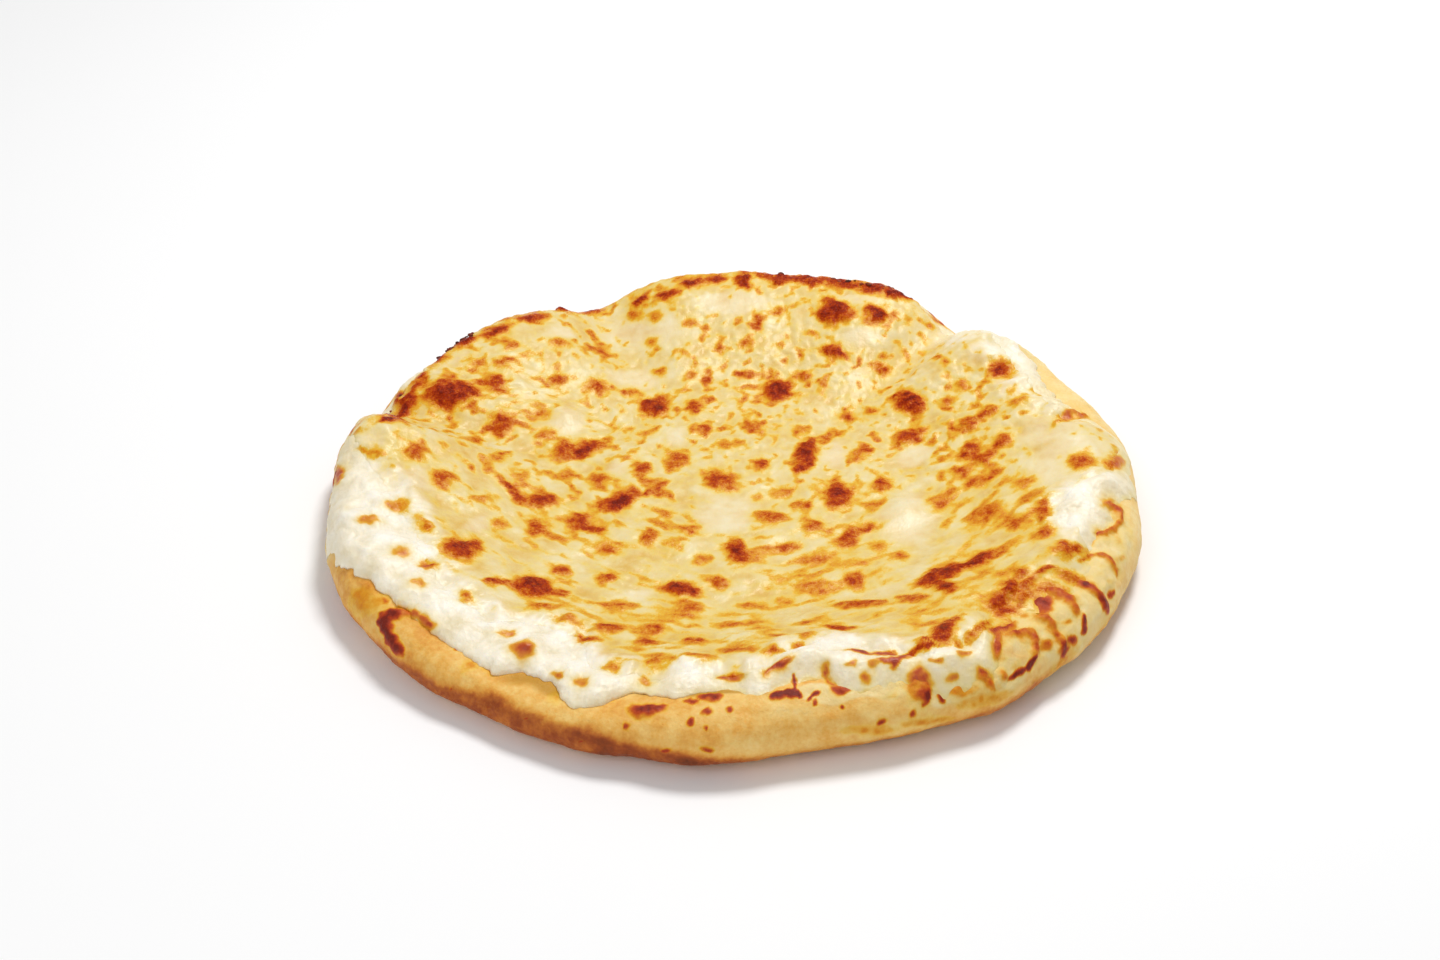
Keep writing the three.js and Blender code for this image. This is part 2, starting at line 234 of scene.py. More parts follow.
# Dough that melted cheese has coated thinly.
COATED_PATCHES = [
    (1040, 608, 150, 124), (1108, 540, 56, 100), (1000, 672, 70, 44), (850, 690, 190, 24),
    (955, 690, 100, 34, -10), (336, 495, 40, 160), (1020, 360, 60, 50, 45), (1080, 590, 90, 90)]
OILY_PATCHES = [(540, 686, 70, 22, 8), (700, 692, 150, 10)]


# ---- numbers and noise
def smooth(t):
    t = np.clip(t, 0, 1)
    return t * t * (3 - 2 * t)


def hashed(lattice, seed):
    """A repeatable number from 0 to 1 for each row of whole numbers."""
    whole = lattice.astype(np.int64).astype(np.uint32)
    mixed = np.full(len(whole), seed * 974634777 & 0xFFFFFFFF, np.uint32)
    for column, prime in zip(whole.T, (374761393, 668265263, 2246822519)):
        mixed = (mixed ^ (column * np.uint32(prime))) * np.uint32(2654435761)
        mixed ^= mixed >> np.uint32(15)
    return mixed / 4294967296.0


# A turn that keeps the noise's own grid from lining up with the view.
ASKEW = np.array([[0.78, 0.50, -0.38], [-0.61, 0.72, -0.32], [0.11, 0.48, 0.87]])


def noise(points, size, seed):
    """Smooth noise from about -1 to 1 at rows of 3-D points, with lumps about as big as size."""
    spot = points @ ASKEW / size
    cell = np.floor(spot)
    part = spot - cell
    fade = part ** 3 * (part * (part * 6 - 15) + 10)
    total = np.zeros(len(points))
    for corner in np.ndindex(2, 2, 2):
        weight = np.prod(np.where(corner, fade, 1 - fade), axis=1)
        lean = np.stack([hashed(cell + corner, seed * 3 + axis) * 2 - 1 for axis in range(3)], axis=1)
        total += weight * np.sum(lean * (part - corner), axis=1)
    return total * 1.6


def bend(points, size, amount, seed):
    """The points moved sideways by noise, so that what is drawn on them is uneven."""
    sideways = np.column_stack([noise(points, size, seed), noise(points, size, seed + 1),
                                0.3 * noise(points, size, seed + 2)])
    return points + amount * sideways


def cells(points, size, seed):
    """How far each point is from the nearest of scattered middles, in sizes."""
    flat = (points @ ASKEW)[:, :2] / size
    cell = np.floor(flat)
    nearest = np.full(len(points), 9.0)
    for step in np.ndindex(3, 3):
        near = np.column_stack([cell + np.array(step) - 1, np.zeros(len(cell))])
        middle = np.column_stack([hashed(near, seed), hashed(near, seed + 1)]) + near[:, :2]
        nearest = np.minimum(nearest, np.hypot(*(flat - middle).T))
    return nearest


def drawn(points, lean, size, reach, seed):
    """Noise drawn out into short streaks that run at an angle seen from above, in degrees."""
    way = np.column_stack([np.cos(np.radians(lean)), np.sin(np.radians(lean)), 0 * lean])
    way *= np.reshape(reach, (-1, 1))
    return sum(noise(points + way * step, size, seed) for step in (-1.5, -0.5, 0.5, 1.5)) / 2.4


# ---- the form, in millimetres
def plane(r, deg):
    return r * np.cos(np.radians(deg)), r * np.sin(np.radians(deg))


def flat_points(r, deg):
    x, y = plane(r, deg)
    return np.column_stack([np.ravel(x), np.ravel(y), np.zeros(np.size(x))])


def around(size, deg):
    """A size that changes around the pizza, at some angles."""
    plain, power, bumps = size
    value = np.full(np.shape(deg), float(plain))
    for at, spread, change in bumps:
        away = np.abs((deg - at + 180) % 360 - 180) / spread
        value += change * np.exp(-away ** power)
    return value


def mounds(spots, r, deg):
    x, y = plane(r, deg)
    height = np.zeros(np.shape(x))
    for at, radius, half, rise in spots:
        cx, cy = plane(radius, at)
        height += rise * np.exp(-((x - cx) ** 2 + (y - cy) ** 2) / half ** 2)
    return height


def swell(waves, r, deg):
    length, height = waves
    total = 0
    for i in range(WAVE_COUNT):
        along = r * np.cos(np.radians(deg - i * GOLDEN_ANGLE))
        pitch = length * (0.8 + 0.5 * i / WAVE_COUNT)
        total = total + np.sin(2 * math.pi * along / pitch + i * i * math.radians(GOLDEN_ANGLE))
    return height * total / math.sqrt(WAVE_COUNT / 2)


def rim(deg):
    """Outer radius, crest radius, crest height and height of the widest point."""
    outer = around(RIM_RADIUS, deg) + swell(DOUGH_WAVES, RIM_RADIUS[0], deg)
    height = around(CREST_HEIGHT, deg)
    return outer, outer - around(CREST_INSET, deg), height, WAIST_SHARE * height


def dough_top(r, deg):
    outer, crest, height, waist = rim(deg)
    lean = np.clip((r - crest) / (outer - crest), 0, 1)
    raised = mounds(DOUGH_MOUNDS, r, deg)
    outside = waist + (height - waist) * np.sqrt(1 - lean ** 2) + raised * (1 - lean)
    rise = smooth((r - FLOOR_RADIUS) / (crest - FLOOR_RADIUS))
    return np.where(r > crest, outside, FLOOR_HEIGHT + (height - FLOOR_HEIGHT) * rise + raised)


def rounded(r, edge, lip):
    """Share of a layer's depth: 1 inside, rounding down to 0 at its edge."""
    return np.sqrt(1 - np.clip((r - edge + lip) / lip, 0, 1) ** 2)


def bare(r, deg):
    """1 where the ricotta shows or nearly shows, 0 deep under the mozzarella."""
    cover = around(MOZZARELLA_EDGE, deg)
    band = smooth((around(RICOTTA_EDGE, deg) - cover) / BARE_WIDTH)
    return smooth((r - cover + BARE_START) / BARE_RAMP) * band


def curd_share(r, deg, edge):
    """Share of the ricotta's depth: a round lip, or a long soft one at the front right."""
    soft = around(SOFT_LIP, deg)
    return (1 - soft) * rounded(r, edge, RICOTTA_LIP) + soft * (1 - smooth((r - edge + SOFT_RUN) / SOFT_RUN))


def ricotta_depth(r, deg, edge):
    lumps = swell(RICOTTA_WAVES, r, deg) + mounds(RICOTTA_MOUNDS, r, deg)
    full = RICOTTA_THIN + (RICOTTA_THICK - RICOTTA_THIN + lumps) * bare(r, deg)
    return full * curd_share(r, deg, edge)


def wobble(deg, amount, seed):
    """A ragged change of an edge radius, in lobes and nicks."""
    ring = flat_points(RAGGED_RING, deg)
    nicks = 0.7 * noise(ring, 3.6, seed + 1) + 0.5 * noise(ring, 2.2, seed + 2)
    return (amount * (noise(ring, 9, seed) + nicks)).reshape(np.shape(deg))


def ricotta_edge(deg):
    return around(RICOTTA_EDGE, deg) + wobble(deg, 1.6, 11) + around(OVERHANG, deg)


def melt_edge(deg):
    """Where the mozzarella ends: it runs on over the dough at the right."""
    return around(MOZZARELLA_EDGE, deg) + around(FRONT_SPREAD, deg)


def mozzarella_edge(deg):
    return melt_edge(deg) + wobble(deg, 1.8, 21)


def curds(r, deg):
    """Height of the ricotta's own lumps, strongest where it is bare."""
    flat = bend(flat_points(r, deg), 6, 1.8, 31)
    lumps = 1.2 * (0.45 - cells(flat, 8.5, 33)) + 0.55 * (0.45 - cells(flat, 3.6, 35))
    lumps += 1.1 * noise(flat, 14, 37) + 0.6 * noise(flat, 6, 39) + 0.25 * noise(flat, 1.9, 38)
    return lumps.reshape(np.shape(r)) * bare(r, deg)


def ricotta_top(r, deg, edge):
    top = GAP + ricotta_depth(r, deg, edge) + curds(r, deg) * curd_share(r, deg, edge)
    return dough_top(r, deg) + top - 0.6 * around(SOFT_LIP, deg) * smooth((r - edge + 4) / 4)


def bared(r, deg):
    """How white the cheese is: 1 where ricotta is bare, 0 under the melted mozzarella."""
    flat = flat_points(r, deg)
    ragged = (5 * noise(flat, 8, 91) + 2.5 * noise(flat, 3.2, 92)).reshape(np.shape(r))
    wide = smooth((around(RICOTTA_EDGE, deg) - around(MOZZARELLA_EDGE, deg)) / BARE_WIDTH)
    white = smooth((r - mozzarella_edge(deg) + WHITE_START + ragged) / WHITE_RAMP)
    stained = smooth((r - ricotta_edge(deg) + STAIN_WIDTH) / STAIN_WIDTH) * around(CREAMY_EDGE, deg)
    return wide * white * (1 - around(MELTED_CORNERS, deg)) * (1 - stained)


def cheese_top(r, deg):
    """The topmost surface, without the fine relief: mozzarella, ricotta or dough."""
    under = dough_top(r, deg)
    curd = around(RICOTTA_EDGE, deg)
    under = under + np.where(r < curd, GAP + ricotta_depth(r, deg, curd), 0)
    skin = melt_edge(deg)
    full = COVERED_GAP + MOZZARELLA_THICK + mounds(MOZZARELLA_MOUNDS, r, deg)
    return under + np.where(r < skin, full * melted_away(r, skin, deg), 0)


def melted_away(r, edge, deg):
    """Share of the mozzarella's depth: it thins to nothing, but for a full lip at the back."""
    at_back = around(BACK_LIP, deg)
    feathered = 1 - smooth((r - edge + FEATHER) / FEATHER)
    return (1 - at_back) * feathered + at_back * rounded(r, edge, MOZZARELLA_LIP)


# ---- spots seen in the photograph
HIGHEST = 36.0  # the heights between which a ray is followed
LOWEST = 3.0
CORE = 0.455  # a spot's firm part, as a share of the size in the lists from its middle out
LONGEST_STRETCH = 1.9  # a spot reaches at most this many times its width in depth


def seen(px, py):
    """The point of the pizza's surface that shows at each pixel."""
    px, py = np.broadcast_arrays(np.asarray(px, float), np.asarray(py, float))
    tilt = math.radians(ELEVATION)
    across = px - PHOTO_WIDTH / 2
    upward = PHOTO_HEIGHT / 2 - py
    way = np.stack([across, FOCAL_PIXELS * math.cos(tilt) + upward * math.sin(tilt),
                    -FOCAL_PIXELS * math.sin(tilt) + upward * math.cos(tilt)], axis=-1)
    heights = np.arange(HIGHEST, LOWEST, -0.1)
    reach = (heights - CAMERA[2]) / way[..., 2:]
    x = CAMERA[0] + reach * way[..., :1]
    y = CAMERA[1] + reach * way[..., 1:2]
    r = np.hypot(x, y)
    deg = np.degrees(np.arctan2(y, x))
    above = np.where(r < rim(deg)[0], heights - cheese_top(r, deg), 9.0)
    first = np.where((above <= 0).any(axis=-1), (above <= 0).argmax(axis=-1), above.argmin(axis=-1))
    pick = first[..., None]
    return np.stack([np.take_along_axis(x, pick, -1)[..., 0], np.take_along_axis(y, pick, -1)[..., 0],
                     heights[first]], axis=-1)


def place(spots, tone=1.0, rise=0.0, halo=1.0):
    """Spots on the surface: rows of middle, half axis, other half axis, tone, rise and halo."""
    placed = []
    for x, y, width, height, *tilt in spots:
        turn = math.radians(sum(tilt))
        along = np.array([math.cos(turn), math.sin(turn)]) * width * CORE
        beside = np.array([-math.sin(turn), math.cos(turn)]) * height * CORE
        ends = np.array([(x, y), along + (x, y), (x, y) - along, beside + (x, y), (x, y) - beside])
        middle, a, b, c, d = seen(ends[:, 0], ends[:, 1])
        half, other = (a - b) / 2, (c - d) / 2
        scale = FOCAL_PIXELS / np.linalg.norm(CAMERA - middle)
        for axis, pixels in ((half, width * CORE), (other, height * CORE)):
            most = LONGEST_STRETCH * pixels / scale
            axis *= min(1, most / max(np.linalg.norm(axis), 1e-6))
        placed.append((middle, half, other, tone, rise, halo))
    return placed


def strung(routes):
    """Strings as chains of short, narrow spots."""
    chain = []
    for points, width in routes:
        for (x0, y0), (x1, y1) in zip(points, points[1:]):
            slope = math.degrees(math.atan2(y1 - y0, x1 - x0))
            long = math.hypot(x1 - x0, y1 - y0) + 0.8 * width
            chain.append(((x0 + x1) / 2, (y0 + y1) / 2, long, width, slope))
    return chain


CHEESE_SPOTS = (
    place(DARK_BLISTERS, 0.88, 0.24) + place(BROWN_BLISTERS, 0.62, 0.18)
    + place(AMBER_SPOTS, 0.46, 0.08) + place(RIM_TOAST, 0.78, 0.12, 1.2)
    + place(EDGE_CHAR, 1.0, 0.1) + place(EDGE_NUBS, 0.86, 0.8, 0.6)
    + place(RICOTTA_STAINS, 0.5, 0.08, 0.8) + place(strung(STRINGS), 0.54, 0.5, 1.3)
    # Baked strings, and the painted shade along the front fold.
    + place(strung(BAKED_STRINGS_AND_FOLD_SHADE), 0.8, 0.2, 0.7) + place(strung(CHARRED_STRINGS), 1.0, 0.2, 0.5))
CRUST_ONLY = place(CRUST_SPOTS, 0.84, 0.1, 0.6) + place(CRUST_STAINS, 0.36, 0.0, 2.0)
PALE, BUSY = place(PALE_PATCHES), place(BUSY_PATCHES)
COATED, OILY = place(COATED_PATCHES), place(OILY_PATCHES)


def outline(points, spot):
    """Which points are near a spot, how far out they are in its own sizes, and in millimetres."""
    middle, half, other = spot[:3]
    away = points - middle
    reach = 2 * max(np.linalg.norm(half), np.linalg.norm(other)) + 7
    near = np.flatnonzero(np.abs(away).max(axis=1) < reach)
    grid = np.array([[half @ half, half @ other], [half @ other, other @ other]])
    share = np.linalg.solve(grid + np.eye(2) * 1e-4, np.array([away[near] @ half, away[near] @ other]))
    out = np.maximum(np.hypot(*share), 0.02)
    beyond = np.linalg.norm(np.outer(share[0], half) + np.outer(share[1], other), axis=1) * (1 - 1 / out)
    return near, out, beyond


def patches(points, spots):
    """How far each point is within soft patches, from 0 to 1."""
    moved = bend(points, 14, 4.0, 81)
    inside = np.zeros(len(points))
    for spot in spots:
        near, out, _ = outline(moved, spot)
        inside[near] = np.maximum(inside[near], 1 - smooth((out - 0.55) / 0.75))
    return inside


def browned(points, spots):
    """How brown each point is, from 0 to about 1, and how far a blister raises it."""
    flat = points * (1, 1, 0.6)
    moved = bend(bend(points, 7, 1.8, 41), 2.7, 0.9, 44)
    moved += 0.35 * (bend(flat, 1.5, 1.0, 47) - flat)
    most = np.zeros(len(points))
    total = np.zeros(len(points))
    lift = np.zeros(len(points))
    for spot in spots:
        near, out, beyond = outline(moved, spot)
        if not len(near):
            continue
        tone, rise, halo = spot[3:]
        small = min(np.linalg.norm(spot[1]), np.linalg.norm(spot[2]))
        far = np.maximum(beyond, 0) / (halo * min(0.8 + 0.26 * small, 1.9))
        level = tone * (1 - 0.42 * np.minimum(out, 1) ** 2) * np.exp(-far)
        level *= 1 - smooth((beyond - 2) / 5)
        most[near] = np.maximum(most[near], level)
        total[near] += level
        lift[near] = np.maximum(lift[near], rise * small * np.clip(1.2 - out ** 2, 0, 1) ** 0.7)
    broken = 1 + 0.3 * noise(points, 2.6, 48) + 0.15 * noise(points, 6, 49)
    return (most + 0.2 * np.minimum(total - most, 0.6)) * broken, lift


def streaming(points, deg):
    """The angle at which the melted cheese is drawn out, and how much: most at the front."""
    from_front = (deg - FRONT + 180) % 360 - 180
    return 0.65 * from_front, smooth((60 - points[:, 1]) / 110)


def mottled(points, deg):
    """The soft amber flecks between the blisters, from 0 to about 0.5."""
    lean, front = streaming(points, deg)
    flecks = drawn(bend(points, 5, 1.5, 71), lean, 4.4, 2.2 * front, 74)
    fine = drawn(points, lean, 2.2, 1.2 * front, 75)
    cloud = noise(points, 17, 76)
    plenty = 0.48 * patches(points, BUSY) - 1.3 * patches(points, PALE)
    level = 1.4 * flecks + 0.5 * fine + 0.55 * cloud + plenty
    return 0.5 * smooth((level + 0.4) / 2.7)


# ---- meshes
def to_metres(points):
    return (points - (*MIDDLE, 0)) * 0.001


def build(name, points, faces, values, material, node):
    """A smooth mesh with one number a corner for each named value, in place of a CAD node."""
    mesh = bpy.data.meshes.new(name)
    sizes = np.concatenate([np.full(len(group), group.shape[1]) for group in faces]).astype(np.int32)
    corners = np.concatenate([group.ravel() for group in faces]).astype(np.int32)
    mesh.vertices.add(len(points))
    mesh.vertices.foreach_set("co", to_metres(points).astype(np.float32).ravel())
    mesh.loops.add(len(corners))
    mesh.loops.foreach_set("vertex_index", corners)
    mesh.polygons.add(len(sizes))
    mesh.polygons.foreach_set("loop_start", np.concatenate([[0], np.cumsum(sizes)[:-1]]).astype(np.int32))
    mesh.polygons.foreach_set("loop_total", sizes)
    mesh.polygons.foreach_set("use_smooth", np.ones(len(sizes), bool))
    mesh.update(calc_edges=True)
    mesh.validate()
    for key, numbers in values.items():
        mesh.attributes.new(key, "FLOAT", "POINT").data.foreach_set("value", numbers.astype(np.float32))
    mesh.materials.append(material)
    piece = bpy.data.objects.new(name, mesh)
    bpy.context.collection.objects.link(piece)
    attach(piece, "root")
    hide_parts(node)
    return piece


def ring_faces(rings, spokes, first=0):
    """Quads between rings of points that run round the pizza, from below, outwards and over."""
    ring, spoke = np.meshgrid(np.arange(rings - 1), np.arange(spokes), indexing="ij")
    a = first + ring * spokes + spoke
    b = first + ring * spokes + (spoke + 1) % spokes
    return np.stack([a, b, b + spokes, a + spokes], axis=-1).reshape(-1, 4)


def caps(rings, spokes):
    """Triangles from the two middle points, which come last, to the first and last rings."""
    spoke = np.arange(spokes)
    beyond = (spoke + 1) % spokes
    low, high = rings * spokes, rings * spokes + 1
    start = (rings - 1) * spokes
    under = np.stack([np.full(spokes, low), beyond, spoke], axis=-1)
    over = np.stack([np.full(spokes, high), start + spoke, start + beyond], axis=-1)
    return np.concatenate([under, over])


def outward(points, rings, spokes):
    """Unit normals of a grid of rings."""
    grid = points.reshape(rings, spokes, 3)
    along = np.roll(grid, -1, axis=1) - np.roll(grid, 1, axis=1)
    up = np.gradient(grid, axis=0)
    normal = np.cross(along, up).reshape(-1, 3)
    return normal / np.maximum(np.linalg.norm(normal, axis=1, keepdims=True), 1e-9)


def swept(radii, heights, deg):
    """Points of rings from radii and heights, ring by ring."""
    x, y = plane(radii, deg)
    return np.stack([x, y, heights], axis=-1).reshape(-1, 3)


# ---- crust
CRUST_SPOKES = 1150
CRUST_HIDDEN = 6  # how far the fine part of the crust runs under the ricotta
DOUGH_TOAST = (0.3, 2, [
    (215, 34, 0.04), (262, 16, 0.0), (300, 20, -0.04), (335, 24, -0.12), (5, 26, -0.14), (38, 18, -0.22),
    (120, 50, 0.15)])
# How brown the lower side is, and how high up that reaches in millimetres.
SIDE_TOAST = (0.28, 2, [(244, 24, 0.16), (262, 14, 0.1), (288, 10, 0.0), (316, 16, 0.1), (10, 30, -0.1)])
SIDE_REACH = (8.5, 2, [(242, 22, 5), (285, 12, -2), (318, 14, 2)])
UNDERSIDE_TOAST, DISH_TOAST = 0.7, 0.2


def crust_rings(deg, edge):
    """Radii and heights of rings: the underside, the heel, over the rim and down into the dish."""
    outer, _, _, waist = rim(deg)
    rings = [((outer - HEEL) * share, 0 * outer) for share in (0.3, 0.6, 0.85)]
    for turn in np.linspace(0, math.pi / 2, 18):
        rings.append((outer - HEEL + HEEL * math.sin(turn), waist * (1 - math.cos(turn))))
    for turn in np.linspace(0, math.pi / 2, 48)[1:]:
        radius = edge + (outer - edge) * math.cos(turn)
        rings.append((radius, dough_top(radius, deg)))
    for share in np.linspace(1, 0, 7)[1:-1]:
        rings.append((edge * share, dough_top(edge * share, deg)))
    radii, heights = zip(*rings)
    return np.array(radii), np.array(heights)


def dough_relief(points, coat, creases):
    """Height of the dough's own lumps, rougher where cheese coats it."""
    lumps = 0.6 * noise(points, 24, 51) + 0.35 * noise(points, 9, 52) + 0.16 * noise(points, 3.6, 53)
    lumps += 0.22 * creases + 0.07 * noise(points, 1.7, 54)
    lumps += coat * (0.7 * noise(points, 6.5, 59) + 0.45 * noise(points, 3.2, 60))
    return lumps


def dough_toast_and_foot_light(points, turn, creases):
    """How toasted the dough is: unevenly, and more so low on its side, fading out just above the floor."""
    z = points[:, 2]
    reach = around(SIDE_REACH, turn) + 1.2 * noise(points, 16, 61) + 0.9 * noise(points, 5, 62)
    # Near the floor the side's browning fades out: partly the dough's own paler foot, partly painted light
    # that lifts the shade there.
    side = smooth((reach + 2 - z) / 4.5) * (1 - 0.8 * smooth((5 - z) / 5))
    toast = around(DOUGH_TOAST, turn) + around(SIDE_TOAST, turn) * side
    toast += 0.1 * noise(points, 22, 55) + 0.1 * noise(points, 7, 56) + 0.07 * creases
    return toast


def make_crust(material):
    deg = np.arange(CRUST_SPOKES) * 360 / CRUST_SPOKES
    edge = around(RICOTTA_EDGE, deg) - CRUST_HIDDEN
    radii, heights = crust_rings(deg, edge)
    rings = len(radii)
    turn = np.broadcast_to(deg, radii.shape).ravel()
    points = swept(radii, heights, turn.reshape(radii.shape))
    normal = outward(points, rings, CRUST_SPOKES)
    shows = smooth((points[:, 2] - 0.5) / 4) * smooth((radii - edge + 2) / 4).ravel()
    brown, lift = browned(points, CHEESE_SPOTS + CRUST_ONLY)
    coat = patches(points, COATED)
    brown = np.maximum(brown, coat * shows * 1.5 * mottled(points, turn))
    creases = drawn(points, turn + 90, 3.2, 3.5, 58)
    points += normal * (shows * (dough_relief(points, coat, creases) + lift))[:, None]
    points[:, 2] = np.maximum(points[:, 2], 0)
    toast = dough_toast_and_foot_light(points, turn, creases)
    middle = np.array([[0, 0, 0], [0, 0, FLOOR_HEIGHT]])
    hidden = (0, 0)
    values = {"toast": np.append(toast, (UNDERSIDE_TOAST, DISH_TOAST)),
              "browning": np.append(brown, hidden), "coat": np.append(coat, hidden),
              "oil": np.append(patches(points, OILY), hidden)}
    faces = (ring_faces(rings, CRUST_SPOKES), caps(rings, CRUST_SPOKES))
    return build("crust_dough", np.concatenate([points, middle]), faces, values, material, "crust")


# ---- ricotta
RICOTTA_SPOKES = 1050
RICOTTA_COVERED = 14  # how far the fine part of the ricotta runs under the mozzarella
COVERED_DROP = 1.3  # how much lower the rest of it lies


def ricotta_rings(deg, edge):
    """Radii and heights of rings: the under side, then over the lip and in under the mozzarella."""
    cover = np.minimum(around(MOZZARELLA_EDGE, deg) - RICOTTA_COVERED, edge - RICOTTA_COVERED)
    rings = []
    for share, drop in ((0.4, 0), (0.8, 0), (0.95, 0), (0.985, 0.6), (1, 0.9)):
        rings.append((edge * share, dough_top(edge * share, deg) + GAP - drop))
    for share in np.sin(np.linspace(0, 1, 66) * math.pi / 2)[::-1][1:]:
        radius = cover + (edge - cover) * share
        rings.append((radius, ricotta_top(radius, deg, edge)))
    for share in (0.9, 0.7, 0.35):
        rings.append((cover * share, ricotta_top(cover * share, deg, edge) - COVERED_DROP))
    radii, heights = zip(*rings)
    return np.array(radii), np.array(heights)


def make_ricotta(material):
    deg = np.arange(RICOTTA_SPOKES) * 360 / RICOTTA_SPOKES
    edge = ricotta_edge(deg)
    radii, heights = ricotta_rings(deg, edge)
    rings = len(radii)
    turn = np.broadcast_to(deg, radii.shape)
    points = swept(radii, heights, turn)
    middle = np.array([[0, 0, FLOOR_HEIGHT + GAP], [0, 0, FLOOR_HEIGHT + GAP + 0.2]])
    brown, lift = browned(points, CHEESE_SPOTS)
    points[:, 2] += lift * 0.6
    frayed = smooth((radii - edge + 3).ravel() / 3 + 0.4 * noise(points, 3.5, 42))
    frayed *= around(SOFT_LIP, turn).ravel() ** 2
    brown = np.maximum(brown, frayed * (0.15 + 0.1 * noise(points, 6, 43)))
    creamy = np.maximum(1 - bared(radii, turn).ravel(), frayed)
    hidden = (0, 0)
    values = {"browning": np.append(brown, hidden), "creamy": np.append(creamy, hidden),
              "curd": np.append(curds(radii, turn).ravel(), hidden)}
    faces = (ring_faces(rings, RICOTTA_SPOKES), caps(rings, RICOTTA_SPOKES))
    return build("ricotta_curd", np.concatenate([points, middle]), faces, values, material, "ricotta")


# ---- mozzarella
MOZZARELLA_GRID = 306
UNDER_RINGS = (0.985, 0.93, 0.86, 0.78, 0.68, 0.55, 0.35)
UNDER_DROP = 1.6  # how far the hidden under side lies inside the ricotta


def disc(count):
    """Radius share and angle of a square grid bent into a disc, with even spacing."""
    line = np.linspace(-1, 1, count)
    a, b = np.meshgrid(line, line, indexing="ij")
    wide = np.abs(a) >= np.abs(b)
    radius = np.where(wide, a, b)
    safe = np.where(radius == 0, 1, radius)
    turn = np.where(wide, math.pi / 4 * b / safe, math.pi / 2 - math.pi / 4 * a / safe)
    turn = np.where(radius < 0, turn + math.pi, turn)
    return np.abs(radius).ravel(), np.degrees(turn).ravel() % 360


def melt_relief(points, deg):
    """Height of the mozzarella's own lumps, folds and drawn threads, calmer at the back."""
    lean, front = streaming(points, deg)
    bent = bend(points, 9, 2.4, 61)
    lumps = 0.55 * noise(points, 15, 64) + 0.5 * (0.5 - cells(bent, 7.5, 63))
    folds = 0.42 * (0.35 - np.abs(noise(bent, 6.2, 65)))
    threads = 0.26 * drawn(bent, lean, 2.6, 2.6 * front, 66)
    fine = 0.14 * noise(points, 3.3, 67) + 0.08 * noise(points, 1.9, 72)
    back = smooth((points[:, 1] - 30) / 60)
    return lumps * (1 - 0.3 * back) + (folds + fine) * (1 - 0.6 * back) + threads


def mozzarella_face(r, deg, edge):
    """Points of the melted surface, and the values that colour it."""
    flat = flat_points(r, deg)
    curd = ricotta_edge(deg)
    lumps = curds(r, deg)
    raised = GAP * smooth((curd - r) / 3) + lumps * curd_share(r, deg, curd)
    lower = dough_top(r, deg) + np.where(r < curd, ricotta_depth(r, deg, curd) + raised, 0)
    waves = swell(MOZZARELLA_WAVES, r, deg)
    thick = COVERED_GAP + MOZZARELLA_THICK + waves + mounds(MOZZARELLA_MOUNDS, r, deg)
    thin = melted_away(r, edge, deg)
    melt = melt_relief(flat, deg)
    calm = patches(np.column_stack([flat[:, :2], lower + thick]), PALE)
    sunk = 0.08 + 0.5 * (1 - smooth(thin / 0.1))
    points = np.column_stack([flat[:, :2], lower - sunk + (thick + melt * (1 - 0.7 * calm)) * thin])
    brown, lift = browned(points, CHEESE_SPOTS)
    flecks = mottled(points, deg)
    blistered = smooth((brown - 0.3) / 0.5)
    points[:, 2] += (lift + 0.22 * blistered * noise(flat, 1.8, 68)) * thin
    rim_band = smooth((r - around(MOZZARELLA_EDGE, deg) + 13) / 9) * around(BACK_RIM, deg)
    flecks += rim_band * (0.2 + 0.22 * noise(flat, 7, 69) + 0.15 * noise(flat, 3, 70))
    white = bared(r, deg)
    flecks *= 1 - 0.75 * white
    tone = 1 - (1 - np.clip(brown, 0, 1)) * (1 - np.clip(flecks, 0, 1)) + np.maximum(brown - 1, 0)
    return points, {"browning": tone, "lump": melt, "curd": lumps,
                    "milky": np.maximum(white, 0.3 * calm)}


def mozzarella_under(r, deg):
    """Rings of points under the mozzarella, each the whole way round, and one in the middle."""
    rings = []
    for share in UNDER_RINGS:
        radius = r * share
        floor = dough_top(radius, deg) + GAP + ricotta_depth(radius, deg, ricotta_edge(deg))
        rings.append(swept(radius, floor - UNDER_DROP, deg))
    return np.concatenate([*rings, [[0, 0, FLOOR_HEIGHT + GAP + 0.8]]])


def make_mozzarella(material):
    count = MOZZARELLA_GRID
    share, deg = disc(count)
    edge = mozzarella_edge(deg)
    r = share * edge
    face, values = mozzarella_face(r, deg, edge)
    index = np.arange(count * count).reshape(count, count)
    top = np.stack([index[:-1, :-1], index[1:, :-1], index[1:, 1:], index[:-1, 1:]], axis=-1)
    loop = np.concatenate([index[-1, :-1], index[::-1, -1][:-1], index[0, ::-1][:-1], index[:-1, 0]])
    loop = loop[np.argsort(deg[loop])]
    spokes, start = len(loop), len(face)
    points = np.concatenate([face, mozzarella_under(r[loop], deg[loop])])
    spoke = np.arange(spokes)
    beyond = (spoke + 1) % spokes
    skirt = np.stack([start + spoke, start + beyond, loop[beyond], loop[spoke]], axis=-1)
    rings = ring_faces(len(UNDER_RINGS), spokes, start)[:, ::-1]
    last = start + (len(UNDER_RINGS) - 1) * spokes
    bottom = np.stack([np.full(spokes, len(points) - 1), last + beyond, last + spoke], axis=-1)
    hidden = np.zeros(len(points) - start)
    values = {key: np.append(numbers, hidden) for key, numbers in values.items()}
    faces = (top.reshape(-1, 4), skirt, rings, bottom)
    return build("mozzarella_melt", points, faces, values, material, "mozzarella")


